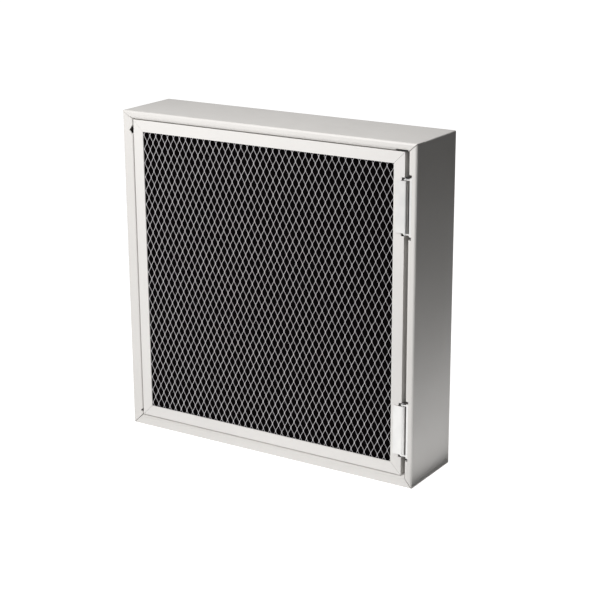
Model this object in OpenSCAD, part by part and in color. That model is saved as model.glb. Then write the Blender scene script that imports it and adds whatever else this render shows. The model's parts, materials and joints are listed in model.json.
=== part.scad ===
// Bench solder fume extractor: a square sheet-metal casing with a hinged,
// mesh-fronted carbon filter door, a pleated particle filter and an axial fan.
// The front faces -Y, +X is to the right of someone facing it, and +Z is up.
// The origin is the centre of the base.

/* [Casing] */
// Width and height of the square casing
case_w = 300; // [296:1:304]
// Depth of the casing, front to back
case_d = 68; // [68:1:72]
// Thickness of the casing sheet
sheet_t = 1.2; // [1:0.1:1.4]
// Outer radius of the casing's bends
bend_r = 2; // [1.8:0.1:2.4]
// Outer radius of the casing's four long edges
edge_r = 1.2; // [0.8:0.1:1.6]
// Width of the flat front flange at the right, where the hinges are
flange_right = 4.7; // [4.5:0.1:4.9]
// Width of the flat front flange at the left
flange_left = 9.4; // [9.2:0.1:9.6]
// Width of the flat front flange at the top
flange_top = 3.9; // [3.7:0.1:4.1]
// Width of the flat front flange at the bottom
flange_bottom = 6.7; // [6.5:0.1:6.9]
// Outer radius of the rolled inner edge at the right, the top and the bottom
roll_r = 3.5; // [3.3:0.1:3.7]
// Outer radius of the folded inner edge at the left
fold_r = 1.3; // [1.25:0.05:1.5]
// Depth of the return lip behind the front plane
lip_d = 12; // [10:0.5:13]
// Open seam between mitred flanges, left on the top and the left side
seam_gap = 0.3; // [0.2:0.05:0.4]
// Open seam left on the bottom and the right side
low_seam_gap = 0.7; // [0.5:0.05:0.8]
// Recess of the rear panel inside the casing's rear edge
rear_recess = 3.5; // [3.5:0.1:4]

/* [Filter door] */
// Gap between the door and the casing's lip at the hinges
hinge_gap = 3.3; // [3.2:0.1:3.4]
// Gap between the door and the casing's lip at the left
latch_gap = 0.8; // [0.7:0.1:1]
// Gap between the door and the casing's lip, at the top and the bottom
door_gap_z = 0.4; // [0.4:0.1:0.8]
// Recess of the door's face behind the casing's front plane
door_recess = 1; // [1:0.1:1.2]
// Depth of the door's channel frame
door_d = 14; // [13:0.5:14]
// Width of the door frame's face
stile_w = 10.2; // [9.5:0.1:11]
// Thickness of the door frame's sheet
door_t = 1; // [0.8:0.1:1.1]

/* [Expanded mesh] */
// Width of one diamond, across
mesh_pitch_x = 6.56; // [6.4:0.02:6.8]
// Height of one diamond
mesh_pitch_z = 12.76; // [12.4:0.02:13]
// Width of a strand
strand_w = 0.85; // [0.75:0.05:1.1]
// Thickness of the mesh
mesh_t = 0.8; // [0.6:0.1:0.9]
// How many real diamonds each modelled one stands for, both ways
mesh_group = 3; // [2:1:4]

/* [Hinges] */
// Height of the lower hinge's centre
hinge_low_z = 51.5; // [50:0.5:55]
// Height of the upper hinge's centre
hinge_high_z = 246.5; // [245:0.5:250]
// Length of a hinge
hinge_len = 44; // [42:1:46]
// Outer radius of the knuckles
knuckle_r = 3.3; // [3.2:0.05:3.35]
// Radius of the pins
pin_r = 1.5; // [1.4:0.05:1.6]
// Thickness of the casing leaf's ear at each end of a hinge
ear_t = 1.2; // [1:0.1:1.4]

/* [Particle filter] */
// Depth of the filter's frame
filter_d = 12; // [11:0.5:12]
// Spacing of the pleats
pleat_pitch = 6; // [5:0.5:8]

/* [Fan] */
// Width of the square fan frame
fan_w = 120; // [119:0.5:120]
// Spacing of the fan's fixing holes
fan_hole_pitch = 105; // [104.5:0.5:105.5]
// Radius of the fan's duct
duct_r = 58; // [57:0.5:58]
// Number of blades
blades = 7; // [5:1:8]

/* [Power] */
// Distance of the mains inlet from the centre line
inlet_x = 70; // [66:1:74]
// Distance of the rocker switch from the centre line
switch_x = 20; // [16:1:24]
// Height of the inlet and the switch
power_z = 45; // [42:1:48]

/* [Hidden] */
$fn = 64;

eps = 0.01;
half_w = case_w / 2;
mid_z = case_w / 2;
front_y = -case_d / 2;
back_y = case_d / 2;
corner_reach = 3;                   // how far a mitre's cut passes the lip

// Each lip's face, measured in from the outer face on its side
lip_right = flange_right + roll_r;
lip_left = flange_left + fold_r;
lip_top = flange_top + roll_r;
lip_bottom = flange_bottom + roll_r;

// Notches in the left flange: [height, half its width, depth]
flange_notches = [[282.6, 4.8, 3.3], [14.2, 2.2, 1.8]];

// Relief in the top lip, near the right corner
relief_x = 135.5;
relief_half = 5.8;
relief_start = [0.5, 1.9];           // behind the front, and in from the flat flange

// Rear panel
panel_out_y = back_y - rear_recess;
panel_in_y = panel_out_y - sheet_t;
panel_half = half_w - sheet_t - 0.3;

// Door
door_y = front_y + door_recess;
door_back_y = door_y + door_d;
door_right = half_w - lip_right - hinge_gap;
door_left = -half_w + lip_left + latch_gap;
door_half_x = (door_right - door_left) / 2;
door_half_z = (case_w - lip_top - lip_bottom) / 2 - door_gap_z;
door_shift = [(door_right + door_left) / 2, (lip_bottom - lip_top) / 2];
core_half_x = door_half_x - 4.3;    // the mesh and the pad stay clear of the knuckles
mesh_y = door_y + door_t + 0.1;
retainer_t = 0.8;
retainer_y = door_back_y - door_t - 0.1 - retainer_t;
key_t = 1.2;
pad_inset = door_t + key_t + 0.3;
pad_y = mesh_y + mesh_t + 0.1;

// Hinges
hinge_zs = [hinge_low_z, hinge_high_z];
leaf_t = 0.6;
hinge_y = door_y - leaf_t + knuckle_r;
hinge_x = door_right - 0.1;
leaf_reach = 7.6;                   // leaf on the stile's face
knuckle_gap = 0.3;
knuckle_room = 0.35;                // round the knuckles, in the stile
ear_r = 2.3;
pin_overrun = 2.2;
hinge_cut_half = hinge_len / 2 + 5.4;
hinge_cut_x = half_w - flange_right + 0.2;
running_gap = 0.06;

// Filters and their seat
gasket_t = 2.5;
body_gap = 0.3;
filter_y = door_back_y + gasket_t + body_gap;
filter_half_x = door_half_x - 2.5;
filter_half_z = door_half_z - 3;
filter_wall = 3;
filter_rim = 8;
rim_t = 1.5;
filter_gasket_t = 2.2;
seat_y = filter_y + filter_d + filter_gasket_t;
seat_in = filter_half_x - 11;

// Fan, in its own frame: inlet at z = 0, axis along +Z
fan_t = 25;
fan_y = panel_in_y - fan_t;
fan_plate = 4;
hub_r = 22;
bearing_r = 4;
shaft_r = 1.5;
blade_tip_r = duct_r - 1.5;
strut_z = 21.5;

// Power
inlet_body = [27, 16, 19.6];        // width, depth behind the panel, height
inlet_flange = [50, 2.4, 22.5];
inlet_screw_x = 20;
inlet_cavity = [24, 15, 16];
inlet_tab = 7;
inlet_pin_places = [[-7, -2], [7, -2], [0, 3.5]];
pin_wide = 2;
pin_thin = 4;
rocker_size = [11, 17];
switch_body = [14, 14.5, 19];
switch_bezel = [16, 2, 21];
switch_tab = 6;
switch_tab_z = 5;
rocker_rest = -8;
trunnion_r = 1;
trunnion_reach = 6.4;
wire_r = 1;

// Brackets, guard and fixing holes
bracket_hole = 14;
bracket_hole_r = 1.45;
panel_hole_r = 1.65;
fan_hole_r = 2.15;
cutout_room = 0.2;
guard_wire = 1.4;
wall_hole_pitch = 220;
wall_hole_r = 2.75;

module at(p) { translate(p) children(); }

// A box from its centre line: x and z are half sizes about the casing's middle.
module slab(half_x, half_z, y0, y1) {
    at([-half_x, y0, mid_z - half_z]) cube([2 * half_x, y1 - y0, 2 * half_z]);
}

// A rectangular ring in the XZ plane.
module ring_slab(out_x, out_z, in_x, in_z, y0, y1) {
    difference() {
        slab(out_x, out_z, y0, y1);
        slab(in_x, in_z, y0 - 1, y1 + 1);
    }
}

// Turns a part made for the bottom side to another side of the square.
module to_side(turn) { at([0, 0, mid_z]) rotate([0, turn, 0]) at([0, 0, -mid_z]) children(); }

// A cylinder along Y.
module rod_y(r, y0, y1) { at([0, y1, 0]) rotate([90, 0, 0]) cylinder(r = r, h = y1 - y0); }

// ---------- casing ----------

module quarter_ring(out_r, in_r) {
    intersection() {
        difference() {
            circle(r = out_r);
            circle(r = in_r);
        }
        square([out_r, out_r]);
    }
}

// The folded sheet's section: x is the depth behind the front, y is the
// distance in from the outer face.
module side_section(flange, roll) {
    at([bend_r - eps, 0]) square([case_d - bend_r + eps, sheet_t]);
    at([bend_r, bend_r]) rotate(180) quarter_ring(bend_r, bend_r - sheet_t);
    at([0, bend_r - eps]) square([sheet_t, flange - bend_r + 2 * eps]);
    at([roll, flange]) rotate(90) quarter_ring(roll, roll - sheet_t);
    at([roll - eps, flange + roll - sheet_t]) square([lip_d - roll + eps, sheet_t]);
}

// Ends one side's panel on a cut at each corner. A cut runs from the outer corner
// through the place where the two lips meet. lips is [this side's lip, the lip at
// the -X end, the lip at the +X end].
module mitre(lips, gap, y0, y1) {
    top = lips[0] + corner_reach;
    at([0, y1, 0]) rotate([90, 0, 0]) linear_extrude(y1 - y0)
        polygon([[-half_w + gap, -eps], [half_w - gap, -eps],
                 [half_w - gap - top * lips[2] / lips[0], top],
                 [-half_w + gap + top * lips[1] / lips[0], top]]);
}

// The casing's outer shape seen from the front: a square with rounded corners.
module rounded_prism() {
    inner = half_w - edge_r;
    at([0, back_y + 1, mid_z]) rotate([90, 0, 0]) linear_extrude(case_d + 2) {
        square([case_w, 2 * inner], center = true);
        square([2 * inner, case_w], center = true);
        for (u = [-1, 1], v = [-1, 1]) at([u * inner, v * inner]) circle(r = edge_r);
    }
}

module side_panel(flange, roll, end_lips, gap) {
    lips = concat(flange + roll, end_lips);
    intersection() {
        rounded_prism();
        at([-half_w, front_y, 0]) rotate([90, 0, 90]) linear_extrude(case_w)
            side_section(flange, roll);
        union() {
            mitre(lips, gap / sqrt(2), front_y, front_y + lip_d + 1);
            mitre([1, 1, 1], 0, front_y + lip_d + 1, back_y);
        }
    }
}

module casing_bottom() {
    color("gainsboro") side_panel(flange_bottom, roll_r, [lip_left, lip_right], low_seam_gap);
}

module casing_top() {
    color("gainsboro") to_side(180) difference() {
        side_panel(flange_top, roll_r, [lip_right, lip_left], seam_gap);
        at([-relief_x - relief_half, front_y + relief_start[0], flange_top + relief_start[1]])
            cube([2 * relief_half, lip_d, roll_r]);
    }
}

// The left side has two small pointed notches in its flange.
module casing_left() {
    color("gainsboro") to_side(90) difference() {
        side_panel(flange_left, fold_r, [lip_top, lip_bottom], seam_gap);
        for (notch = flange_notches)
            at([mid_z - notch[0], front_y + lip_d + 1, lip_left - notch[2]]) rotate([90, 0, 0])
                linear_extrude(lip_d + 2) polygon([[0, 0], [2 * notch[1], 2 * notch[2]],
                                                   [-2 * notch[1], 2 * notch[2]]]);
    }
}

// The right side is cut back to its flat flange at each hinge.
module casing_right() {
    color("gainsboro") difference() {
        to_side(-90) side_panel(flange_right, roll_r, [lip_bottom, lip_top], low_seam_gap);
        for (z = hinge_zs)
            at([hinge_cut_x - lip_right, front_y - 1, z - hinge_cut_half])
                cube([lip_right, lip_d + 2, 2 * hinge_cut_half]);
    }
}

// An angle in each rear corner, with a tab that takes a rear panel screw.
module corner_bracket() {
    leg = 28;
    start_y = 12;
    inner = half_w - sheet_t;
    at([-inner, start_y, mid_z - inner]) {
        difference() {
            union() {
                cube([leg, panel_in_y - start_y, sheet_t]);
                cube([sheet_t, panel_in_y - start_y, leg]);
                at([0, panel_in_y - start_y - sheet_t, 0]) cube([leg, sheet_t, leg]);
            }
            at([bracket_hole, 0, bracket_hole]) rod_y(bracket_hole_r, 0, panel_in_y);
        }
    }
}

module corner_brackets() {
    color("silver") for (turn = [0:90:270]) to_side(turn) corner_bracket();
}

// A Z-shaped tab on the middle of each wall.
module side_bracket() {
    width = 30;
    reach = 20;
    start_y = 14;
    at([-width / 2, start_y, sheet_t]) difference() {
        union() {
            cube([width, panel_in_y - start_y, sheet_t]);
            at([0, panel_in_y - start_y - sheet_t, 0]) cube([width, sheet_t, reach]);
        }
        at([width / 2, 0, bracket_hole]) rod_y(bracket_hole_r, 0, panel_in_y);
    }
}

module side_brackets() {
    color("silver") for (turn = [0:90:270]) to_side(turn) side_bracket();
}

// ---------- rear panel ----------

module at_panel_screws() {
    hole = half_w - sheet_t - bracket_hole;
    for (turn = [0:90:270]) to_side(turn) {
        at([-hole, 0, mid_z - hole]) children();
        at([0, 0, sheet_t + bracket_hole]) children();
    }
}

module at_fan_holes() {
    for (sx = [-1, 1], sz = [-1, 1])
        at([sx * fan_hole_pitch / 2, 0, mid_z + sz * fan_hole_pitch / 2]) children();
}

// The opening in the rear panel for a body of the given size, centred at x.
module panel_cutout(x, body) {
    wide = body[0] + 2 * cutout_room;
    high = body[2] + 2 * cutout_room;
    at([x - wide / 2, panel_in_y - 1, power_z - high / 2]) cube([wide, sheet_t + 2, high]);
}

module rear_panel() {
    color("gainsboro") difference() {
        slab(panel_half, panel_half, panel_in_y, panel_out_y);
        at([0, 0, mid_z]) rod_y(duct_r - 0.5, panel_in_y - 1, panel_out_y + 1);
        at_fan_holes() rod_y(fan_hole_r, panel_in_y - 1, panel_out_y + 1);
        at_panel_screws() rod_y(panel_hole_r, panel_in_y - 1, panel_out_y + 1);
        for (sx = [-1, 1], sz = [-1, 1])
            at([sx * wall_hole_pitch / 2, 0, mid_z + sz * wall_hole_pitch / 2])
                rod_y(wall_hole_r, panel_in_y - 1, panel_out_y + 1);
        panel_cutout(inlet_x, inlet_body);
        for (s = [-1, 1])
            at([inlet_x + s * inlet_screw_x, 0, power_z]) rod_y(panel_hole_r, panel_in_y - 1, panel_out_y + 1);
        panel_cutout(switch_x, switch_body);
    }
}

// A domed cross-recess screw pointing to -Y, with its seat at y = 0.
module pan_screw(head_r, head_h, shank_r, shank_l) {
    slot = [head_r, 0.6];
    difference() {
        union() {
            at([0, head_h / 2, 0]) rotate([90, 0, 0]) cylinder(r = head_r, h = head_h / 2);
            at([0, head_h / 2, 0]) rotate([-90, 0, 0])
                cylinder(r1 = head_r, r2 = head_r * 0.72, h = head_h / 2);
            rod_y(shank_r, -shank_l, eps);
        }
        for (turn = [0, 90]) rotate([0, turn, 0])
            at([-slot[0] / 2, head_h / 2, -slot[1] / 2]) cube([slot[0], head_h, slot[1]]);
    }
}

module rear_panel_screws() {
    color("dimgray") at_panel_screws() at([0, panel_out_y, 0]) pan_screw(2.8, 1.9, 1.4, 7);
}

// ---------- filter seat and particle filter ----------

// A ring of Z section welded to the walls: it seals the filter's rear face.
module seat_frame() {
    wall = half_w - sheet_t - 0.05;
    weld_d = 9;
    stiffener_d = 5;
    in_z = seat_in + 4;
    color("silver") {
        ring_slab(wall, wall, seat_in, in_z, seat_y, seat_y + sheet_t);
        ring_slab(wall, wall, wall - sheet_t, wall - sheet_t, seat_y, seat_y + weld_d);
        ring_slab(seat_in + sheet_t, in_z + sheet_t, seat_in, in_z, seat_y, seat_y + stiffener_d);
    }
}

// A channel that carries the particle filter above the casing's floor.
module filter_shelf() {
    half = 120;
    top_z = mid_z - filter_half_z - 0.1;
    depth = filter_d - 1;
    color("silver") at([-half, filter_y, sheet_t]) {
        cube([2 * half, depth, sheet_t]);
        cube([2 * half, sheet_t, top_z - sheet_t]);
        at([0, 0, top_z - 2 * sheet_t]) cube([2 * half, depth, sheet_t]);
    }
}

module filter_frame() {
    color("ivory") difference() {
        slab(filter_half_x, filter_half_z, filter_y, filter_y + filter_d);
        slab(filter_half_x - filter_rim, filter_half_z - filter_rim, filter_y - 1, filter_y + filter_d + 1);
        slab(filter_half_x - filter_wall, filter_half_z - filter_wall,
             filter_y + rim_t, filter_y + filter_d - rim_t);
    }
}

// One folded sheet of media: a zigzag in plan, standing between the rims.
module filter_pleats() {
    media_t = 0.8;
    run = filter_half_x - filter_wall - 0.4;
    count = floor(2 * run / pleat_pitch);
    fold = run / count;
    y_low = filter_y + rim_t + 0.1;
    y_high = filter_y + filter_d - rim_t - 0.1 - media_t;
    zig = [for (i = [0:2 * count]) [-run + i * fold, i % 2 == 0 ? y_low : y_high]];
    zag = [for (i = [2 * count:-1:0]) zig[i] + [0, media_t]];
    height = 2 * (filter_half_z - filter_wall - 0.2);
    color("whitesmoke") at([0, 0, mid_z - height / 2]) linear_extrude(height)
        polygon(concat(zig, zag));
}

module filter_gasket() {
    y0 = filter_y + filter_d;
    out_x = filter_half_x - 0.5;
    out_z = filter_half_z - 0.5;
    strip_w = 8;
    color("#222222") ring_slab(out_x, out_z, out_x - strip_w, out_z - strip_w,
                               y0, y0 + filter_gasket_t);
}

// Two bowed spring strips on the left lip that grip the door's edge.
module catch_springs() {
    strip_t = 0.25;
    strip_w = 6;
    half_long = 15;
    half_flat = 4;
    bow = latch_gap - body_gap;
    y0 = front_y + lip_d - strip_w - 1;
    color("silver") for (z = hinge_zs) at([-half_w + lip_left, y0, z])
        extrude_y(strip_w) polygon([
            [0, -half_long], [bow, -half_flat], [bow, half_flat], [0, half_long],
            [0, half_long - 8 * strip_t], [bow - strip_t, half_flat - strip_t],
            [bow - strip_t, -half_flat + strip_t], [0, -half_long + 8 * strip_t]]);
}

// Extrudes a shape drawn in X and Z along +Y.
module extrude_y(depth) {
    at([0, depth, 0]) rotate([90, 0, 0]) linear_extrude(depth) children();
}

// ---------- hinges ----------

// A cylinder on the hinge's axis about the height z.
module on_axis(z, r, half_long) {
    at([hinge_x, hinge_y, z - half_long]) cylinder(r = r, h = 2 * half_long);
}

// The door's half: a strap on the stile's face, curled round the pin.
module hinge_door_leaves() {
    strap_x = door_right - leaf_reach;
    half = hinge_len / 2;
    color("gainsboro") for (z = hinge_zs) difference() {
        union() {
            on_axis(z, knuckle_r, half);
            at([strap_x, door_y - leaf_t, z - half]) cube([hinge_x - strap_x, leaf_t, hinge_len]);
        }
        on_axis(z, pin_r + running_gap, hinge_len);
    }
}

// The casing's half: an angle fixed behind the flange and against the wall, with
// an ear round each end of the pin.
module hinge_casing_leaves() {
    plate_t = 1;
    plate_y = front_y + sheet_t;
    plate_x = hinge_x + knuckle_r + 1.3;
    plate_half = hinge_len / 2 + knuckle_gap + 2 * ear_t;
    wall_x = half_w - sheet_t;
    leg_d = 11;
    web_y = [hinge_y - 1.9, hinge_y + 1.4];
    ear_z = hinge_len / 2 + knuckle_gap + ear_t / 2;
    color("silver") for (z = hinge_zs) difference() {
        union() {
            at([plate_x, plate_y, z - plate_half])
                cube([wall_x - bend_r + sheet_t - plate_x, plate_t, 2 * plate_half]);
            at([wall_x - plate_t, plate_y + bend_r - sheet_t, z - plate_half])
                cube([plate_t, leg_d, 2 * plate_half]);
            for (s = [-1, 1]) {
                on_axis(z + s * ear_z, ear_r, ear_t / 2);
                at([hinge_x, web_y[0], z + s * ear_z - ear_t / 2])
                    cube([plate_x + plate_t - hinge_x, web_y[1] - web_y[0], ear_t]);
            }
        }
        on_axis(z, pin_r, hinge_len);
    }
}

module hinge_pins() {
    color("silver") for (z = hinge_zs) on_axis(z, pin_r, hinge_len / 2 + pin_overrun);
}

// ---------- door ----------

// Moves a part drawn about the casing's middle to the door's middle.
module in_door() { at([door_shift[0], 0, door_shift[1]]) children(); }

// A channel of the door frame with both ends mitred, made as the bottom rail of
// a frame of the given half length and of the given half size across it.
module rail_channel(half_long, half_other) {
    mitre_gap = 0.12;
    z0 = mid_z - half_other;
    reach = stile_w + 1;
    intersection() {
        at([-half_long, door_y, z0]) rotate([90, 0, 90]) linear_extrude(2 * half_long) {
            square([door_d, door_t]);
            square([door_t, stile_w]);
            at([door_d - door_t, 0]) square([door_t, stile_w]);
        }
        at([0, door_back_y + 1, z0]) rotate([90, 0, 0]) linear_extrude(door_d + 2)
            polygon([[-half_long + mitre_gap, -eps], [half_long - mitre_gap, -eps],
                     [half_long - reach - mitre_gap, reach], [-half_long + reach + mitre_gap, reach]]);
    }
}

module door_frame_bottom() {
    color("whitesmoke") in_door() rail_channel(door_half_x, door_half_z);
}

module door_frame_top() {
    color("whitesmoke") in_door() to_side(180) rail_channel(door_half_x, door_half_z);
}

module door_frame_left() {
    color("whitesmoke") in_door() to_side(90) rail_channel(door_half_z, door_half_x);
}

// A clearance in the hinge stile, from its face back, round one hinge.
module stile_notch(z, r, half) {
    at([hinge_x - r, door_y - 1, z - half]) cube([stile_w, hinge_y + r - door_y + 1, 2 * half]);
}

// The hinge stile is cut away round the knuckles and round the ears at their ends.
module door_frame_right() {
    half = hinge_len / 2 + knuckle_gap;
    color("whitesmoke") difference() {
        in_door() to_side(-90) rail_channel(door_half_z, door_half_x);
        for (z = hinge_zs) {
            stile_notch(z, knuckle_r + knuckle_room, half);
            stile_notch(z, ear_r + knuckle_room, half + 2 * ear_t);
        }
    }
}

// Angle cleats that lock the four mitres from inside the channels.
module door_corner_keys() {
    leg = 26;
    y0 = hinge_y + knuckle_r + 2 * knuckle_room;
    depth = retainer_y - 0.1 - y0;
    in_x = door_half_x - door_t - 0.05;
    in_z = door_half_z - door_t - 0.05;
    color("silver") in_door() for (sx = [-1, 1], sz = [-1, 1])
        at([sx * in_x, y0, mid_z + sz * in_z]) mirror([sx < 0 ? 0 : 1, 0, 0]) mirror([0, 0, sz < 0 ? 0 : 1]) {
            cube([leg, depth, key_t]);
            cube([key_t, depth, leg]);
        }
}

// Expanded metal: a sheet pierced by two interleaved grids of diamonds. The
// diamonds are grouped, with strands as much wider, so the open area is true.
module front_mesh() {
    pitch_x = mesh_group * mesh_pitch_x;
    pitch_z = mesh_group * mesh_pitch_z;
    strand = mesh_group * strand_w;
    half_x = core_half_x;
    half_z = door_half_z - door_t - 0.2;
    slant = norm([pitch_x, pitch_z]);
    half_open = [pitch_x / 2 - strand * slant / pitch_z / 2, pitch_z / 2 - strand * slant / pitch_x / 2];
    columns = floor((half_x - half_open[0] - 1) / pitch_x * 2);
    rows = floor((half_z - half_open[1] - 1) / pitch_z * 2);
    color("silver") in_door() at([0, mesh_y, mid_z]) extrude_y(mesh_t)
        difference() {
            square([2 * half_x, 2 * half_z], center = true);
            for (i = [-columns:columns], j = [-rows:rows])
                if ((i + j) % 2 == 0)
                    at([i * pitch_x / 2, j * pitch_z / 2])
                        polygon([[-half_open[0], 0], [0, -half_open[1]],
                                 [half_open[0], 0], [0, half_open[1]]]);
        }
}

module carbon_pad() {
    color("#1b1618") in_door() slab(core_half_x, door_half_z - pad_inset, pad_y, retainer_y - 0.1);
}

// A thin fleece sheet that holds the carbon in from behind.
module rear_retainer() {
    color("dimgray") in_door() slab(door_half_x - door_t - 0.2, door_half_z - door_t - 0.2,
                                    retainer_y, retainer_y + retainer_t);
}

module door_gasket() {
    strip_w = 8;
    out_x = door_half_x - 1;
    out_z = door_half_z - 1;
    color("#222222") in_door() ring_slab(out_x, out_z, out_x - strip_w, out_z - strip_w,
                                         door_back_y, door_back_y + gasket_t);
}

// ---------- fan ----------

module in_fan_frame() { at([0, fan_y, mid_z]) rotate([-90, 0, 0]) children(); }

module at_fan_corners() {
    for (sx = [-1, 1], sy = [-1, 1])
        at([sx * fan_hole_pitch / 2, sy * fan_hole_pitch / 2, 0]) children();
}

module fan_plate_shape() {
    corner_r = 6;
    at([-fan_w / 2 + corner_r, -fan_w / 2, 0]) cube([fan_w - 2 * corner_r, fan_w, fan_plate]);
    at([-fan_w / 2, -fan_w / 2 + corner_r, 0]) cube([fan_w, fan_w - 2 * corner_r, fan_plate]);
    for (sx = [-1, 1], sy = [-1, 1])
        at([sx * (fan_w / 2 - corner_r), sy * (fan_w / 2 - corner_r), 0])
            cylinder(r = corner_r, h = fan_plate);
}

module fan_frame() {
    post_r = 4.4;
    base_r = 20;
    color("#2a2a2c") in_fan_frame() {
        difference() {
            union() {
                fan_plate_shape();
                at([0, 0, fan_t - fan_plate]) fan_plate_shape();
                cylinder(r = fan_w / 2 - 0.4, h = fan_t);
                at_fan_corners() cylinder(r = post_r, h = fan_t);
            }
            at([0, 0, -1]) cylinder(r = duct_r, h = fan_t + 2);
            at_fan_corners() at([0, 0, -1]) cylinder(r = 2.15, h = fan_t + 2);
        }
        difference() {
            union() {
                for (turn = [45:90:315]) rotate(turn)
                    at([0, -2.5, strut_z]) cube([duct_r + 0.8, 5, fan_t - strut_z]);
                at([0, 0, strut_z]) cylinder(r = base_r, h = fan_t - strut_z);
                at([0, 0, 5.5]) cylinder(r = bearing_r + 1.2, h = fan_t - 5.5);
            }
            at([0, 0, 5]) cylinder(r = bearing_r, h = 17);
        }
    }
}

// The wound stator: a slotted stack round the bearing tube.
module fan_stator() {
    color("#b87333") in_fan_frame() at([0, 0, 7.5]) difference() {
        cylinder(r = 17.6, h = 10);
        at([0, 0, -1]) cylinder(r = bearing_r + 1.25, h = 12);
        for (turn = [0:60:300]) rotate(turn) at([9, -1.2, -1]) cube([12, 2.4, 12]);
    }
}

module fan_bearings() {
    color("silver") in_fan_frame() for (z = [5.8, 17.5]) at([0, 0, z]) difference() {
        cylinder(r = bearing_r - 0.02, h = 3);
        at([0, 0, -1]) cylinder(r = shaft_r + running_gap, h = 5);
    }
}

// One cambered blade: a slice of a thin tube whose axis runs along the radius.
module blade() {
    pitch = 38;
    chord = 24;
    curve_r = 28;
    blade_t = 1.5;
    mid = 11;
    back_off = sqrt(curve_r * curve_r - chord * chord / 4);
    intersection() {
        at([0, 0, mid]) rotate([pitch, 0, 0]) intersection() {
            at([0, 0, back_off]) rotate([0, 90, 0]) difference() {
                cylinder(r = curve_r + blade_t / 2, h = blade_tip_r + 5);
                at([0, 0, -1]) cylinder(r = curve_r - blade_t / 2, h = blade_tip_r + 7);
            }
            at([0, -chord / 2, -6]) cube([blade_tip_r + 5, chord, 9]);
        }
        at([0, 0, 2.5]) difference() {
            cylinder(r = blade_tip_r, h = 17);
            at([0, 0, -1]) cylinder(r = hub_r - 0.8, h = 19);
        }
    }
}

module impeller() {
    skirt = 1.6;
    cap = 1.8;
    color("#2a2a2c") in_fan_frame() {
        at([0, 0, 1.5]) difference() {
            cylinder(r = hub_r, h = 18);
            at([0, 0, cap]) cylinder(r = hub_r - skirt, h = 18);
        }
        at([0, 0, 2.5]) difference() {
            cylinder(r = 3.4, h = 2.6);
            at([0, 0, 1]) cylinder(r = shaft_r, h = 3);
        }
        for (k = [0:blades - 1]) rotate(k * 360 / blades) blade();
    }
}

module rotor_magnet() {
    color("#3c3c40") in_fan_frame() at([0, 0, 6]) difference() {
        cylinder(r = hub_r - 1.6, h = 12);
        at([0, 0, -1]) cylinder(r = hub_r - 3.4, h = 14);
    }
}

module rotor_shaft() {
    color("silver") in_fan_frame() at([0, 0, 3.5]) cylinder(r = shaft_r, h = 17.8);
}

module fan_screws() {
    seat = panel_out_y + guard_wire;
    color("dimgray") at_fan_holes() at([0, seat, 0]) pan_screw(3.5, 2, 1.95, seat - fan_y + 3.4);
}

module fan_nuts() {
    nut_h = 3.2;
    color("dimgray") at_fan_holes() at([0, fan_y, 0]) rotate([90, 30, 0]) difference() {
        cylinder(r = 4.04, h = nut_h, $fn = 6);
        at([0, 0, -1]) cylinder(r = 2, h = nut_h + 2);
    }
}

// Wire rings welded on four radial wires, each ending in an eye for a screw.
module fan_guard() {
    wire_half = guard_wire / 2;
    eye_r = 2.7 + wire_half;
    reach = fan_hole_pitch / sqrt(2);
    ring_lift = guard_wire * 0.8;
    color("silver") at([0, panel_out_y, mid_z]) rotate([-90, 0, 0]) {
        for (turn = [45:90:315]) rotate(turn) {
            at([13, 0, wire_half]) rotate([0, 90, 0])
                cylinder(r = wire_half, h = reach - eye_r - 13);
            at([reach, 0, wire_half]) rotate_extrude() at([eye_r, 0]) circle(r = wire_half, $fn = 24);
        }
        for (r = [14:8:54])
            at([0, 0, wire_half + ring_lift]) rotate_extrude() at([r, 0]) circle(r = wire_half, $fn = 24);
    }
}

// ---------- power ----------

module mains_inlet() {
    color("#1e1e20") at([inlet_x, panel_out_y, power_z]) difference() {
        union() {
            at([-inlet_flange[0] / 2, 0, -inlet_flange[2] / 2]) cube(inlet_flange);
            at([-inlet_body[0] / 2, -inlet_body[1], -inlet_body[2] / 2])
                cube([inlet_body[0], inlet_body[1] + eps, inlet_body[2]]);
        }
        difference() {
            at([-inlet_cavity[0] / 2, inlet_flange[1] - inlet_cavity[1], -inlet_cavity[2] / 2])
                cube([inlet_cavity[0], inlet_cavity[1] + 1, inlet_cavity[2]]);
            for (s = [-1, 1])
                at([s * inlet_cavity[0] / 2, 0, inlet_cavity[2] / 2]) rotate([0, 45, 0])
                    cube([6, 3 * inlet_body[1], 6], center = true);
        }
        for (s = [-1, 1]) at([s * inlet_screw_x, 0, 0]) rod_y(1.6, -1, inlet_flange[1] + 1);
        for (p = inlet_pin_places) at([p[0], 0, p[1]])
            cube([pin_wide + 0.02, 3 * inlet_body[1], pin_thin + 0.02], center = true);
    }
}

// Three blades that show in the socket and end as tabs inside the casing.
module inlet_pins() {
    long = inlet_body[1] + inlet_tab - 3;
    color("silver") at([inlet_x, panel_out_y, power_z]) for (p = inlet_pin_places)
        at([p[0] - pin_wide / 2, -inlet_body[1] - inlet_tab, p[1] - pin_thin / 2])
            cube([pin_wide, long, pin_thin]);
}

module inlet_screws() {
    color("dimgray") for (s = [-1, 1])
        at([inlet_x + s * inlet_screw_x, panel_out_y + inlet_flange[1], power_z])
            pan_screw(2.2, 1, 1.4, 8);
}

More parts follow.
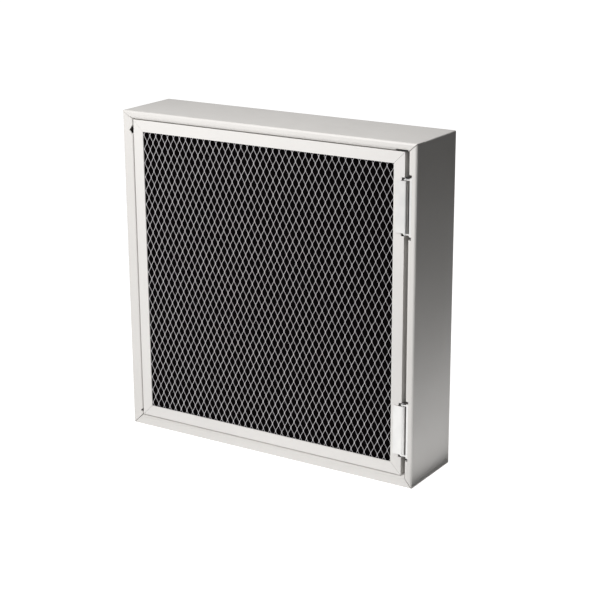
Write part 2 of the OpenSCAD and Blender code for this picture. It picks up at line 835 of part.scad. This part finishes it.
module switch_housing() {
    color("#1e1e20") at([switch_x, panel_out_y, power_z]) {
        difference() {
            union() {
                at([-switch_bezel[0] / 2, 0, -switch_bezel[2] / 2]) cube(switch_bezel);
                at([-switch_body[0] / 2, -switch_body[1], -switch_body[2] / 2])
                    cube([switch_body[0], switch_body[1] + eps, switch_body[2]]);
            }
            at([-rocker_size[0] / 2 - 0.4, -7, -rocker_size[1] / 2 - 0.5])
                cube([rocker_size[0] + 0.8, 12, rocker_size[1] + 1]);
            at([-trunnion_reach - 0.1, 0, 0]) rotate([0, 90, 0])
                cylinder(r = trunnion_r + running_gap, h = 2 * trunnion_reach + 0.2);
        }
        for (s = [-1, 1]) at([-2.4, -switch_body[1] - switch_tab, s * switch_tab_z - 0.4])
            cube([4.8, switch_tab, 0.8]);
    }
}

// The rocker turns on two trunnions along X: two wings that meet in a shallow V.
module switch_rocker() {
    half = rocker_size[1] / 2;
    color("#2c2c2e") at([switch_x, panel_out_y, power_z]) {
        rotate([rocker_rest, 0, 0]) rotate([90, 0, 90])
            at([0, 0, -rocker_size[0] / 2]) linear_extrude(rocker_size[0])
                polygon([[2.2, -half + 0.5], [1.6, 0], [2.2, half - 0.5], [0.6, half - 0.2],
                         [-4, 4], [-4, -4], [0.6, -half + 0.2]]);
        at([-trunnion_reach, 0, 0]) rotate([0, 90, 0]) cylinder(r = trunnion_r, h = 2 * trunnion_reach);
    }
}

// A tube swept along points joined by a smooth curve.
function curve_at(p, i, t) =
    let (a = p[max(i - 1, 0)], b = p[i], c = p[i + 1], d = p[min(i + 2, len(p) - 1)])
    0.5 * (2 * b + (c - a) * t + (2 * a - 5 * b + 4 * c - d) * t * t
           + (3 * b - a - 3 * c + d) * t * t * t);
function curve_points(p, steps) =
    concat([for (i = [0:len(p) - 2], k = [0:steps - 1]) curve_at(p, i, k / steps)], [p[len(p) - 1]]);

module tube(p, r, sides, steps) {
    path = curve_points(p, steps);
    last = len(path) - 1;
    ahead = [for (i = [0:last]) path[min(i + 1, last)] - path[max(i - 1, 0)]];
    side = [for (d = ahead) cross(d, [0.31, 0.2, 0.93]) / norm(cross(d, [0.31, 0.2, 0.93]))];
    up = [for (i = [0:last]) cross(side[i], ahead[i]) / norm(ahead[i])];
    rings = [for (i = [0:last], k = [0:sides - 1])
        path[i] + r * cos(360 * k / sides) * side[i] + r * sin(360 * k / sides) * up[i]];
    walls = [for (i = [0:last - 1], k = [0:sides - 1])
        let (a = i * sides + k, b = i * sides + (k + 1) % sides)
        each [[a, b, b + sides], [a, b + sides, a + sides]]];
    ends = [[for (k = [sides - 1:-1:0]) k], [for (k = [0:sides - 1]) last * sides + k]];
    polyhedron(points = rings, faces = concat(walls, ends));
}

// Each wire starts and ends just off a tab's end, running straight to the front.
wire_end_gap = 0.15;
inlet_tab_y = panel_out_y - inlet_body[1] - inlet_tab - wire_end_gap;
switch_tab_y = panel_out_y - switch_body[1] - switch_tab - wire_end_gap;
live_x = inlet_x + inlet_pin_places[0][0];
neutral_x = inlet_x + inlet_pin_places[1][0];
pin_z = power_z + inlet_pin_places[0][1];
low_tab_z = power_z - switch_tab_z;
high_tab_z = power_z + switch_tab_z;

// Inlet to switch, switch to fan, and inlet to fan.
wire_routes = [
    [[live_x, inlet_tab_y, pin_z], [live_x, 4, pin_z], [56, 1.5, 36],
     [34, 2, 34], [switch_x, 6, low_tab_z - 1], [switch_x, switch_tab_y, low_tab_z]],
    [[switch_x, switch_tab_y, high_tab_z], [switch_x, 6, high_tab_z + 1], [15, 2.5, 62],
     [6, 2.5, 76], [0, 2.8, 86]],
    [[neutral_x, inlet_tab_y, pin_z], [neutral_x, 4, pin_z], [72, 1.5, 58],
     [52, 1.5, 72], [24, 2, 80], [4, 2.8, 86]]];

module internal_wiring() {
    color("royalblue") for (route = wire_routes) tube(route, wire_r, 8, 5);
}

casing_top();
casing_bottom();
casing_left();
casing_right();
corner_brackets();
side_brackets();
rear_panel();
rear_panel_screws();
seat_frame();
filter_shelf();
filter_frame();
filter_pleats();
filter_gasket();
catch_springs();
hinge_casing_leaves();
hinge_pins();
fan_frame();
fan_stator();
fan_bearings();
fan_screws();
fan_nuts();
fan_guard();
mains_inlet();
inlet_pins();
inlet_screws();
switch_housing();
internal_wiring();
door_frame_top();
door_frame_bottom();
door_frame_left();
door_frame_right();
door_corner_keys();
front_mesh();
carbon_pad();
rear_retainer();
door_gasket();
hinge_door_leaves();
impeller();
rotor_magnet();
rotor_shaft();
switch_rocker();
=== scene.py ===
"""Looks of the solder fume extractor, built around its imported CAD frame.

Everything is in metres in the row frame: the front faces -Y, +X is to the right of
someone facing it, +Z is up, and the origin is the centre of the base.
"""

import json
import math

import bmesh
import bpy
from mathutils import Matrix, Vector, noise


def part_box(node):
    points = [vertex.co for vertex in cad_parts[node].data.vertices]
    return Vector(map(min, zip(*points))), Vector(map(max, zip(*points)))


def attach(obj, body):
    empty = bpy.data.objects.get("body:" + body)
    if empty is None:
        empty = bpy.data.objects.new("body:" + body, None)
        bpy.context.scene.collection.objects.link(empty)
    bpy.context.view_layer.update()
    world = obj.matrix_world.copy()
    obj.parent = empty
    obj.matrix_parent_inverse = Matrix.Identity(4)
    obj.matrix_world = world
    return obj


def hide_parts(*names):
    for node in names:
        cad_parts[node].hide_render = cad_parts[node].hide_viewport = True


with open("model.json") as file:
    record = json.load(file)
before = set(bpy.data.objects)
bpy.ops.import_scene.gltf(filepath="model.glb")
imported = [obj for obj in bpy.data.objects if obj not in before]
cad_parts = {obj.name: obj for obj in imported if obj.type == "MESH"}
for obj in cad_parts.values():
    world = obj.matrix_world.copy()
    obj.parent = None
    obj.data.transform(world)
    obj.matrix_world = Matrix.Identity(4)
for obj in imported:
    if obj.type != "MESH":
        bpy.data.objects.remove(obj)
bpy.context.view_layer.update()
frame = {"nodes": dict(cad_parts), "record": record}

MM = 0.001
GASKET_WIDTH = 8 * MM
nodes = frame["nodes"]


# ---------- helpers ----------

def piece(name, verts, faces, smooth=False):
    """A new mesh object from points and faces."""
    mesh = bpy.data.meshes.new(name)
    mesh.from_pydata(verts, [], faces)
    mesh.validate()
    if smooth:
        mesh.shade_smooth()
    made = bpy.data.objects.new(name, mesh)
    bpy.context.scene.collection.objects.link(made)
    return made


def settle(made, material, slot, body, *replaced):
    """Gives a finished piece its material, its body and the CAD nodes that it stands for."""
    made.data.materials.clear()
    made.data.materials.append(material)
    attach(made, body)
    if replaced:
        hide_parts(*replaced)


# ---------- camera ----------

def make_camera():
    """The photograph's angle: from the right of the front, and from above."""
    azimuth, elevation, roll = (math.radians(a) for a in (32.5, 17.1, -0.31))
    place = (0.7428, -1.1403, 0.5553)
    flat = math.cos(elevation)
    back = Vector((math.sin(azimuth) * flat, -math.cos(azimuth) * flat, math.sin(elevation)))
    level = Vector((math.cos(azimuth), math.sin(azimuth), 0))
    upright = back.cross(level)
    right = math.cos(roll) * level + math.sin(roll) * upright
    up = math.cos(roll) * upright - math.sin(roll) * level
    turn = Matrix((right, up, back)).transposed().to_4x4()
    data = bpy.data.cameras.new("camera")
    data.sensor_width = 36
    data.lens = 95.4
    data.clip_start = 0.05
    camera = bpy.data.objects.new("camera", data)
    camera.matrix_world = Matrix.Translation(place) @ turn
    bpy.context.scene.collection.objects.link(camera)
    bpy.context.scene.camera = camera


# ---------- floor and light ----------

def stage_material(name, sockets):
    """A flat material for the floor or the flag, from the values of its shader's sockets."""
    material = bpy.data.materials.new(name)
    material.use_nodes = True
    shader = material.node_tree.nodes["Principled BSDF"]
    for socket, value in sockets.items():
        shader.inputs[socket].default_value = value
    return material


def make_world():
    """A dim, even surround that fills the shadows."""
    world = bpy.data.worlds.new("studio")
    world.use_nodes = True
    sky = world.node_tree.nodes["Background"]
    sky.inputs["Color"].default_value = (0.97, 0.98, 1.0, 1)
    sky.inputs["Strength"].default_value = 0.14
    bpy.context.scene.world = world
    bpy.context.scene.view_settings.view_transform = "Standard"


def make_floor():
    """A plain floor that glows white enough for no shadow to show on it."""
    reach = 8
    below = 0.2 * MM
    corners = [(-reach, -reach, 0), (reach, -reach, 0), (reach, reach, 0), (-reach, reach, 0)]
    floor = piece("studio_floor", corners, [(0, 1, 2, 3)])
    floor.location.z = -below
    floor.data.materials.append(stage_material("studio_floor", {
        "Base Color": (0.35, 0.35, 0.35, 1),
        "Roughness": 0.9,
        "Specular IOR Level": 0.1,
        "Emission Color": (1, 1, 1, 1),
        "Emission Strength": 1.03,
    }))


def make_flag():
    """A dark flag that stands to the right of the casing, and a dark skirt on the floor along
    its right side. They shade that side, and the camera sees neither."""
    flag_x, near, far, top = 0.32, -0.7, 1.4, 0.9
    skirt_near, skirt_far, skirt_z = 0.151, 0.162, 0.5 * MM
    upright = [(flag_x, near, 0), (flag_x, far, 0), (flag_x, far, top), (flag_x, near, top)]
    skirt = [(skirt_near, near, skirt_z), (skirt_far, near, skirt_z),
             (skirt_far, far, skirt_z), (skirt_near, far, skirt_z)]
    flag = piece("studio_flag", upright + skirt, [(0, 1, 2, 3), (4, 5, 6, 7)])
    flag.data.materials.append(stage_material("studio_flag", {
        "Base Color": (0.02, 0.02, 0.02, 1),
        "Specular IOR Level": 0.0,
    }))
    flag.visible_camera = False


def area_light(name, place, aim, size, watts):
    """A square soft light at place that points at aim."""
    data = bpy.data.lights.new(name, "AREA")
    data.shape = "RECTANGLE"
    data.size = data.size_y = size
    data.energy = watts
    lamp = bpy.data.objects.new(name, data)
    lamp.location = place
    lamp.rotation_euler = (Vector(aim) - Vector(place)).to_track_quat("-Z", "Y").to_euler()
    bpy.context.scene.collection.objects.link(lamp)


def make_stage():
    """A pale floor, a dark flag at the right, a key light high in front and a weak one above."""
    make_world()
    make_floor()
    make_flag()
    area_light("key", place=(0.0, -0.58, 1.02), aim=(0, 0, 0.16), size=0.5, watts=10.8)
    area_light("overhead", place=(0.0, 0.3, 1.9), aim=(0, 0, 0), size=1.6, watts=1.2)


# ---------- the shader builder ----------

class Shader:
    """A procedural material under construction: one Principled shader and its textures."""

    def __init__(self, name, roughness=0.5, metallic=0.0, specular=0.5):
        self.material = bpy.data.materials.new(name)
        self.material.use_nodes = True
        self.tree = self.material.node_tree
        self.out = self.tree.nodes["Principled BSDF"]
        self.out.inputs["Roughness"].default_value = roughness
        self.out.inputs["Metallic"].default_value = metallic
        self.out.inputs["Specular IOR Level"].default_value = specular
        self.coords = self.node("ShaderNodeTexCoord").outputs["Object"]
        self.height = None

    def node(self, kind, **settings):
        made = self.tree.nodes.new(kind)
        for key, value in settings.items():
            setattr(made, key, value)
        return made

    def link(self, source, target):
        self.tree.links.new(source, target)

    def stretched(self, scale):
        """Object coordinates scaled differently along each axis."""
        mapping = self.node("ShaderNodeMapping")
        mapping.inputs["Scale"].default_value = scale
        self.link(self.coords, mapping.inputs["Vector"])
        return mapping.outputs["Vector"]

    def noise(self, size, detail=2.0, stretch=None):
        """Noise whose features are about size metres across."""
        made = self.node("ShaderNodeTexNoise")
        made.inputs["Scale"].default_value = 0.5 / size
        made.inputs["Detail"].default_value = detail
        coords = self.stretched(stretch) if stretch else self.coords
        self.link(coords, made.inputs["Vector"])
        return made.outputs["Fac"]

    def cells(self, size, feature="F1"):
        """Voronoi cells about size metres across."""
        made = self.node("ShaderNodeTexVoronoi", feature=feature)
        made.inputs["Scale"].default_value = 1 / size
        self.link(self.coords, made.inputs["Vector"])
        return made.outputs["Distance"]

    def ramp(self, factor, low, high, start=0.3, end=0.7):
        """A colour that goes from low to high as factor goes from start to end."""
        made = self.node("ShaderNodeValToRGB")
        made.color_ramp.elements[0].position = start
        made.color_ramp.elements[1].position = end
        made.color_ramp.elements[0].color = (*low, 1)
        made.color_ramp.elements[1].color = (*high, 1)
        self.link(factor, made.inputs["Fac"])
        return made.outputs["Color"]

    def spread(self, factor, low, high, start=0.3, end=0.7):
        """A number that goes from low to high as factor goes from start to end."""
        made = self.node("ShaderNodeMapRange")
        made.inputs["From Min"].default_value = start
        made.inputs["From Max"].default_value = end
        made.inputs["To Min"].default_value = low
        made.inputs["To Max"].default_value = high
        self.link(factor, made.inputs["Value"])
        return made.outputs["Result"]

    def darken(self, colour, factor, tint):
        """Multiplies a colour by tint where factor is 1."""
        made = self.node("ShaderNodeMix", data_type="RGBA", blend_type="MULTIPLY")
        colour_a, colour_b, colour_result = 6, 7, 2
        self.link(factor, made.inputs["Factor"])
        self.link(colour, made.inputs[colour_a])
        made.inputs[colour_b].default_value = (*tint, 1)
        return made.outputs[colour_result]

    def bump(self, factor, depth, strength=1.0):
        """Adds relief of the given depth in metres, on top of what is there."""
        made = self.node("ShaderNodeBump")
        made.inputs["Strength"].default_value = strength
        made.inputs["Distance"].default_value = depth
        self.link(factor, made.inputs["Height"])
        if self.height is not None:
            self.link(self.height, made.inputs["Normal"])
        self.height = made.outputs["Normal"]
        self.link(self.height, self.out.inputs["Normal"])

    def colour(self, source):
        self.link(source, self.out.inputs["Base Color"])

    def roughness(self, source):
        self.link(source, self.out.inputs["Roughness"])


# ---------- materials ----------

def powder_coat(name, tone, shade, rough):
    """Satin powder coat: fine orange peel, a trace of grain, and slight cloudiness."""
    s = Shader(name)
    cloud = s.ramp(s.noise(45 * MM, 3), shade, tone, 0.35, 0.65)
    grain = s.spread(s.noise(0.35 * MM, 1), 0, 0.10)
    s.colour(s.darken(cloud, grain, (0.8, 0.8, 0.8)))
    s.roughness(s.spread(s.noise(6 * MM, 3), rough - 0.04, rough + 0.05))
    s.bump(s.noise(1.6 * MM, 2), 0.030 * MM)
    s.bump(s.noise(0.3 * MM, 1), 0.006 * MM)
    return s.material


def plated_steel(name, tone, shade, rough):
    """Plated or bare metal: drawn grain, faint spangle."""
    s = Shader(name, metallic=1.0)
    drawn = (1, 1, 14)
    s.colour(s.ramp(s.noise(5 * MM, 4), shade, tone))
    s.roughness(s.spread(s.noise(0.8 * MM, 3, drawn), rough - 0.07, rough + 0.1))
    s.bump(s.noise(0.5 * MM, 2, drawn), 0.004 * MM)
    return s.material


def expanded_metal():
    """Dull grey metal of the front mesh."""
    s = Shader("mesh_metal", metallic=0.55)
    s.colour(s.ramp(s.noise(3 * MM, 3), (0.50, 0.48, 0.495), (0.64, 0.62, 0.63)))
    s.roughness(s.spread(s.noise(0.7 * MM, 2), 0.34, 0.5))
    s.bump(s.noise(0.4 * MM, 2), 0.01 * MM)
    return s.material


def carbon_foam():
    """Open black foam loaded with carbon grains, pitted and almost without gloss."""
    s = Shader("carbon", specular=0.02)
    grains = s.cells(1.3 * MM)
    # The pits between the grains are painted darker than the grains: painted shade in the hollows,
    # on the same cells that sink the relief.
    grain_tone, pit_shade_tone = (0.0034, 0.0020, 0.0026), (0.0008, 0.0005, 0.0006)
    s.colour(s.ramp(grains, grain_tone, pit_shade_tone, 0.1, 0.6))
    s.roughness(s.spread(s.noise(1.1 * MM, 2), 0.55, 0.95))
    s.bump(grains, -0.5 * MM, 0.9)
    s.bump(s.noise(0.4 * MM, 2), 0.1 * MM, 0.8)
    return s.material


def fleece():
    """Thin nonwoven: matted fibres lying every way, with pressed dimples."""
    s = Shader("fleece", roughness=0.95, specular=0.15)
    fibres = s.noise(0.5 * MM, 6, (1, 1, 0.15))
    crossing = s.noise(0.5 * MM, 6, (0.15, 1, 1))
    tone = s.ramp(fibres, (0.09, 0.09, 0.092), (0.17, 0.17, 0.172))
    s.colour(s.darken(tone, s.spread(crossing, 0, 0.6), (0.55, 0.55, 0.55)))
    s.bump(fibres, 0.12 * MM, 0.8)
    s.bump(crossing, 0.12 * MM, 0.8)
    s.bump(s.cells(2.2 * MM), 0.15 * MM, 0.6)
    return s.material


def filter_paper():
    """Glass-fibre media: soft, off-white, finely felted."""
    s = Shader("filter_paper", roughness=0.9, specular=0.2)
    s.colour(s.ramp(s.noise(4 * MM, 5), (0.80, 0.795, 0.765), (0.85, 0.845, 0.82)))
    s.bump(s.noise(0.5 * MM, 5), 0.06 * MM, 0.8)
    return s.material


def filter_board():
    """Grey-brown board: pressed fibres and flecks."""
    s = Shader("filter_board", roughness=0.8, specular=0.25)
    fibres = s.noise(2.5 * MM, 6, (1, 1, 0.5))
    flecks = s.spread(s.noise(0.5 * MM, 2), 0, 1, 0.62, 0.72)
    tone = s.ramp(fibres, (0.52, 0.45, 0.33), (0.68, 0.61, 0.48))
    s.colour(s.darken(tone, flecks, (0.6, 0.55, 0.5)))
    s.bump(s.noise(0.6 * MM, 4), 0.03 * MM, 0.8)
    return s.material


def seal_foam():
    """Closed-cell foam strip: fine open pores on a dull skin."""
    s = Shader("foam_seal", roughness=0.85, specular=0.25)
    pores = s.cells(0.55 * MM)
    # The pores are painted darker towards their bottoms: painted shade in the hollows, on the same
    # mask as the relief.
    s.colour(s.ramp(pores, (0.012, 0.012, 0.013), (0.045, 0.045, 0.048), 0.1, 0.5))
    s.bump(pores, 0.12 * MM, 0.8)
    s.bump(s.noise(7 * MM, 2), 0.25 * MM, 0.5)
    return s.material


def moulded_plastic(name, tone, rough, grain):
    """Moulded plastic with a fine spark-eroded grain of the given depth."""
    s = Shader(name)
    s.colour(s.ramp(s.noise(12 * MM, 3), tuple(c * 0.82 for c in tone), tone))
    s.roughness(s.spread(s.noise(4 * MM, 2), rough - 0.06, rough + 0.08))
    s.bump(s.cells(0.35 * MM, "SMOOTH_F1"), grain, 0.7)
    return s.material


def winding():
    """Enamelled copper wire, wound in close turns."""
    s = Shader("copper", metallic=0.8, roughness=0.35)
    turns = s.noise(0.35 * MM, 1, (0.08, 1, 0.08))
    # The copper is painted darker in the grooves between turns and lighter on their crests: painted
    # shade and painted highlight following the wire's relief.
    s.colour(s.ramp(turns, (0.32, 0.11, 0.035), (0.62, 0.27, 0.10)))
    s.bump(turns, 0.08 * MM, 0.8)
    return s.material


def ferrite():
    """Sintered magnet: dark grey and granular."""
    s = Shader("ferrite", roughness=0.6, specular=0.4)
    s.colour(s.ramp(s.noise(0.9 * MM, 3), (0.035, 0.035, 0.038), (0.075, 0.075, 0.08)))
    s.bump(s.noise(0.4 * MM, 3), 0.02 * MM)
    return s.material


def insulation():
    """Wire insulation: smooth blue plastic, a little uneven."""
    s = Shader("wire_blue")
    s.colour(s.ramp(s.noise(6 * MM, 2), (0.03, 0.10, 0.34), (0.05, 0.15, 0.45)))
    s.roughness(s.spread(s.noise(2 * MM, 2), 0.28, 0.42))
    s.bump(s.noise(1.2 * MM, 2), 0.02 * MM)
    return s.material


def make_materials():
    """One material for each slot of the record."""
    return {
        "casing_paint": powder_coat("casing_paint", (0.68, 0.66, 0.635), (0.655, 0.635, 0.61), 0.42),
        "door_paint": powder_coat("door_paint", (0.72, 0.70, 0.675), (0.69, 0.67, 0.65), 0.45),
        "zinc_steel": plated_steel("zinc_steel", (0.76, 0.75, 0.735), (0.69, 0.685, 0.675), 0.36),
        "steel": plated_steel("steel", (0.62, 0.62, 0.63), (0.52, 0.52, 0.53), 0.25),
        "brass_plate": plated_steel("brass_plate", (0.72, 0.69, 0.58), (0.62, 0.58, 0.47), 0.28),
        "mesh_metal": expanded_metal(),
        "carbon": carbon_foam(),
        "fleece": fleece(),
        "filter_paper": filter_paper(),
        "filter_board": filter_board(),
        "foam_seal": seal_foam(),
        "black_plastic": moulded_plastic("black_plastic", (0.026, 0.026, 0.028), 0.5, 0.02 * MM),
        "gloss_black": moulded_plastic("gloss_black", (0.018, 0.018, 0.02), 0.22, 0.004 * MM),
        "copper": winding(),
        "ferrite": ferrite(),
        "wire_blue": insulation(),
    }


def paint_frame(materials):
    """Every CAD node takes the material of its record slot."""
    for part in frame["record"]["subparts"]:
        shown = nodes[part["node"]]
        shown.data.materials.clear()
        shown.data.materials.append(materials[part["material_slot"]])


# ---------- the front mesh ----------

def expanded_mesh(materials):
    """Raised expanded metal. Zigzag strands run upwards and meet in pairs at the bonds,
    and every strand leans the same way, as the stretching of the slit sheet leaves it."""
    pitch_x, pitch_z = 6.56 * MM, 12.76 * MM
    strand = 0.37 * MM
    bond_half = 0.85 * MM
    lean = math.radians(20)
    sheet = 0.32 * MM
    proud = 0.05 * MM
    low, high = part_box("front_mesh")
    middle_x = (low.x + high.x) / 2
    middle_z = (low.z + high.z) / 2
    across = strand * math.cos(lean)
    depth = strand * math.sin(lean)
    front_y = low.y + depth - proud
    columns = int((high.x - middle_x) / pitch_x * 2) - 1
    rows = int((high.z - middle_z) / pitch_z * 2)

    # A bond has six points: its lower left, middle and right, and then its upper ones.
    verts, faces, bonds = [], [], {}
    for i in range(-columns, columns + 1):
        for j in range(-rows, rows + 1):
            if (i + j) % 2 == 0:
                continue
            bonds[i, j] = len(verts)
            for end in (-1, 1):
                for side in (-1, 0, 1):
                    verts.append((middle_x + i * pitch_x / 2 + side * across,
                                  front_y + side * depth,
                                  middle_z + j * pitch_z / 2 + end * bond_half))
    for (i, j), at in bonds.items():
        faces += [(at, at + 1, at + 4, at + 3), (at + 1, at + 2, at + 5, at + 4)]
        right, left = bonds.get((i + 1, j + 1)), bonds.get((i - 1, j + 1))
        if right is not None:
            faces.append((at + 4, at + 5, right + 1, right))
        if left is not None:
            faces.append((at + 3, at + 4, left + 2, left + 1))
    made = piece("expanded_mesh", verts, faces)
    thicken(made, sheet)
    settle(made, materials["mesh_metal"], "mesh_metal", "door", "front_mesh")


def thicken(made, thickness):
    """Turns an open sheet that faces -Y into a closed one of the given thickness."""
    bm = bmesh.new()
    bm.from_mesh(made.data)
    front = list(bm.faces)
    result = bmesh.ops.duplicate(bm, geom=bm.faces[:] + bm.edges[:] + bm.verts[:])
    pairs = {a: b for a, b in result["vert_map"].items() if isinstance(a, bmesh.types.BMVert)}
    back = [f for f in result["geom"] if isinstance(f, bmesh.types.BMFace)]
    for vert in (g for g in result["geom"] if isinstance(g, bmesh.types.BMVert)):
        vert.co.y += thickness
    bmesh.ops.reverse_faces(bm, faces=back)
    for face in front:
        for loop in list(face.loops):
            if len(loop.edge.link_faces) == 1:
                a, b = loop.vert, loop.link_loop_next.vert
                bm.faces.new((b, a, pairs[a], pairs[b]))
    bm.normal_update()
    bm.to_mesh(made.data)
    bm.free()


# ---------- carbon foam and fleece ----------

def relief_block(name, low, high, step, side, relief):
    """A closed block between two corners. Its face on side, -1 or 1 along Y, lies
    relief(x, z) inside the box, except along the edges."""
    across, up = round((high.x - low.x) / step), round((high.z - low.z) / step)
    verts, faces = [], []
    for face in (side, -side):
        y = low.y if face < 0 else high.y
        for j in range(up + 1):
            for i in range(across + 1):
                x = low.x + (high.x - low.x) * i / across
                z = low.z + (high.z - low.z) * j / up
                inner = face == side and 0 < i < across and 0 < j < up
                verts.append((x, y - side * relief(x, z) if inner else y, z))
    row, layer = across + 1, (across + 1) * (up + 1)
    for j in range(up):
        for i in range(across):
            a = j * row + i
            quad = (a, a + 1, a + row + 1, a + row)
            faces.append(quad if side < 0 else quad[::-1])
            other = tuple(v + layer for v in quad)
            faces.append(other[::-1] if side < 0 else other)
    rim = list(range(across))
    rim += [j * row + across for j in range(up)]
    rim += [up * row + i for i in range(across, 0, -1)]
    rim += [j * row for j in range(up, 0, -1)]
    for a, b in zip(rim, rim[1:] + rim[:1]):
        quad = (b, a, a + layer, b + layer)
        faces.append(quad if side < 0 else quad[::-1])
    return piece(name, verts, faces, smooth=True)


def carbon_block(materials):
    """Open foam loaded with carbon grains: pits and grains a few millimetres across."""
    grain = 4.2 * MM
    finer = 2.3
    mean_mm, swing_mm = 0.45, 0.75
    low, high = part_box("carbon_pad")

    def relief(x, z):
        point = Vector((x, 0, z)) / grain
        pits = noise.noise(point) * 0.5 + noise.noise(point * finer) * 0.5
        return max(0.0, (mean_mm + swing_mm * pits) * MM)

    made = relief_block("carbon_foam", low, high, 1.9 * MM, -1, relief)
    settle(made, materials["carbon"], "carbon", "door", "carbon_pad")


def fleece_sheet(materials):
    """Thin fleece behind the carbon, with soft puckers and a pattern of pressed dimples."""
    pucker_size, dimple_size = 14 * MM, 2.9 * MM
    mean_mm, pucker_mm, dimple_mm = 0.22, 0.2, 0.07
    low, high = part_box("rear_retainer")

    def relief(x, z):
        pucker = noise.noise(Vector((x, 3, z)) / pucker_size)
        dimple = math.sin(x / dimple_size) * math.sin(z / dimple_size)
        return (mean_mm + pucker_mm * pucker + dimple_mm * dimple) * MM

    made = relief_block("rear_fleece", low, high, 2.3 * MM, 1, relief)
    settle(made, materials["fleece"], "fleece", "door", "rear_retainer")


# ---------- foam gaskets ----------

def foam_strips(name, node, body, materials):
    """Four strips of self-adhesive foam, butted at the corners, rounded on their free side."""
    low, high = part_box(node)
    width = GASKET_WIDTH
    joint = 0.12 * MM
    runs = [((low.x, low.z), (high.x, low.z + width), True),
            ((low.x, high.z - width), (high.x, high.z), True),
            ((low.x, low.z + width + joint), (low.x + width, high.z - width - joint), False),
            ((high.x - width, low.z + width + joint), (high.x, high.z - width - joint), False)]
    verts, faces = [], []
    for start, end, level in runs:
        foam_strip(verts, faces, start, end, level, low.y, high.y)
    made = piece(name, verts, faces, smooth=True)
    settle(made, materials["foam_seal"], "foam_seal", body, node)


def strip_section(width, height):
    """A strip's outline, flat at the bottom, with two rounded corners at the top."""
    corner = 0.85 * MM
    turns = [math.radians(15 * k) for k in range(7)]
    section = [(0.0, 0.0)]
    section += [(corner * (1 - math.cos(t)), height - corner * (1 - math.sin(t))) for t in turns]
    section += [(width * k / 4, height) for k in (1, 2, 3)]
    section += [(width - corner * (1 - math.cos(t)), height - corner * (1 - math.sin(t)))
                for t in reversed(turns)]
    section += [(width, 0.0)]
    return section


def foam_strip(verts, faces, start, end, level, y0, y1):
    """Adds one strip: a rounded section carried along X if level, else along Z."""
    wave_size, wave_share = 11 * MM, 0.09
    step = 5 * MM
    long = 0 if level else 1
    length, width = end[long] - start[long], end[1 - long] - start[1 - long]
    steps = max(2, round(length / step))
    section = strip_section(width, y1 - y0)
    first, count = len(verts), len(section)
    for k in range(steps + 1):
        along = start[long] + length * k / steps
        for across, height in section:
            wave = noise.noise(Vector((along, across, y0)) / wave_size) * 0.5 + 0.5
            place = [0.0, 0.0]
            place[long] = along
            place[1 - long] = start[1 - long] + across
            verts.append((place[0], y0 + height * (1 - wave_share * wave), place[1]))
    order = 1 if level else -1
    for k in range(steps):
        for m in range(count):
            a, b = first + k * count + m, first + k * count + (m + 1) % count
            faces.append((a, b, b + count, a + count)[::order])
    last = first + steps * count
    faces.append(tuple(range(first + count - 1, first - 1, -1))[::order])
    faces.append(tuple(range(last, last + count))[::order])


# ---------- the particle filter's paper ----------

def pleat_line(x_low, x_high, y_low, y_high):
    """The middle line of the folded paper in plan: a zigzag with rounded folds."""
    pleats = 44
    fold_radius = 1.0 * MM
    arc_half = 3
    fold = (x_high - x_low) / (2 * pleats)
    slope = math.atan2(y_high - y_low, fold)
    line = []
    for i in range(2 * pleats + 1):
        x = x_low + fold * i
        y, inward = (y_low, 1) if i % 2 == 0 else (y_high, -1)
        if i in (0, 2 * pleats):
            line.append((x, y))
            continue
        for k in range(-arc_half, arc_half + 1):
            angle = slope * k / arc_half
            line.append((x + fold_radius * math.sin(angle),
                         y + inward * fold_radius * (1 - math.cos(angle))))
    return line


def thick_line(line, half):
    """The closed outline of a line that is half thick to each side."""
    normals = []
    for i in range(len(line)):
        a, b = line[max(i - 1, 0)], line[min(i + 1, len(line) - 1)]
        span = math.hypot(b[0] - a[0], b[1] - a[1])
        normals.append((-(b[1] - a[1]) / span, (b[0] - a[0]) / span))
    both = list(zip(line, normals))
    outline = [(c[0] + half * n[0], c[1] + half * n[1]) for c, n in both]
    outline += [(c[0] - half * n[0], c[1] - half * n[1]) for c, n in reversed(both)]
    return outline


def pleat_pack(materials):
    """Glass-fibre media in rounded, slightly uneven pleats that stand upright."""
    half = 0.3 * MM
    levels = 28
    sway_x, sway_z, sway_mm = 9 * MM, 30 * MM, 0.35
    still_edge = 6 * MM
    low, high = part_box("filter_pleats")
    line = pleat_line(low.x + half, high.x - half, low.y + half, high.y - half)
    ring = [(min(max(x, low.x), high.x), min(max(y, low.y), high.y))
            for x, y in thick_line(line, half)]
    verts, faces = [], []
    for k in range(levels + 1):
        z = low.z + (high.z - low.z) * k / levels
        for x, y in ring:
            sway = noise.noise(Vector((x / sway_x, 0, z / sway_z))) * sway_mm * MM
            edge = min(x - low.x, high.x - x) / still_edge
            verts.append((x + sway * min(1.0, edge), y, z))
    total = len(ring)
    for k in range(levels):
        for m in range(total):
            a, b = k * total + m, k * total + (m + 1) % total
            faces.append((b, a, a + total, b + total))
    for k, order in ((0, 1), (levels, -1)):
        for m in range(len(line) - 1):
            a, b = k * total + m, k * total + m + 1
            c, d = k * total + total - 2 - m, k * total + total - 1 - m
            faces.append((a, b, c, d)[::order])
    made = piece("pleated_media", verts, faces, smooth=True)
    settle(made, materials["filter_paper"], "filter_paper", "casing", "filter_pleats")


# ---------- scene ----------

make_camera()
make_stage()
materials = make_materials()
paint_frame(materials)
expanded_mesh(materials)
carbon_block(materials)
fleece_sheet(materials)
foam_strips("door_seal", "door_gasket", "door", materials)
foam_strips("filter_seal", "filter_gasket", "casing", materials)
pleat_pack(materials)
